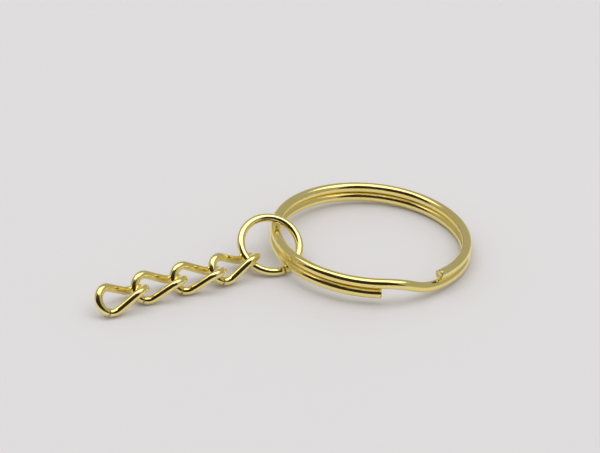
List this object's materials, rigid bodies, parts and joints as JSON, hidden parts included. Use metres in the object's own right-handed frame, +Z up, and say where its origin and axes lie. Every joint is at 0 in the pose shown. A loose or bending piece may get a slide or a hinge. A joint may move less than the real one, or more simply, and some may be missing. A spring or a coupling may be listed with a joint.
{
  "type": "split key ring with chain",
  "caption": "Split key ring of double-wound round wire, with an open jump ring and a short twisted curb chain lying stretched out.",
  "frame": {"origin": "centre of the split ring, on its axis and midway between its two coils", "axes": "+Z is up from the table that the key ring lies on, the chain trails along -X from the split ring, and +Y completes the right-handed frame. The split ring's own axis leans about three degrees from +Z, because the split ring lies on the jump ring's wire."},
  "size_m": [0.0588, 0.03, 0.0062],
  "materials": {
    "gold_plating": "polished gold-coloured plating on steel wire"
  },
  "bodies": {
    "split_ring": {"split_ring": "gold_plating"},
    "jump_ring": {"jump_ring": "gold_plating"},
    "link_1": {"chain_link_1": "gold_plating"},
    "link_2": {"chain_link_2": "gold_plating"},
    "link_3": {"chain_link_3": "gold_plating"},
    "link_4": {"chain_link_4": "gold_plating"}
  },
  "joints": [
    {"name": "jump_ring_travel", "type": "hinge", "parent": "split_ring", "child": "jump_ring", "pos_m": [0, 0, 0], "axis": [0.0513, 0.0072, 0.9987], "continuous": true},
    {"name": "link_1_swing", "type": "hinge", "parent": "jump_ring", "child": "link_1", "pos_m": [-0.01944, 0.00011, -0.00006], "axis": [-0.3746, 0.7687, 0.5185], "range_deg": [-60, 45]},
    {"name": "link_2_swing", "type": "hinge", "parent": "link_1", "child": "link_2", "pos_m": [-0.02524, -0.00177, -0.00024], "axis": [0.2342, -0.6543, -0.719], "range_deg": [-65, 50]},
    {"name": "link_3_swing", "type": "hinge", "parent": "link_2", "child": "link_3", "pos_m": [-0.03134, -0.00204, -0.00022], "axis": [0.0429, -0.6142, -0.788], "range_deg": [-65, 65]},
    {"name": "link_4_swing", "type": "hinge", "parent": "link_3", "child": "link_4", "pos_m": [-0.03739, -0.00282, -0.00022], "axis": [0.075, -0.6111, -0.788], "range_deg": [-65, 65]}
  ]
}
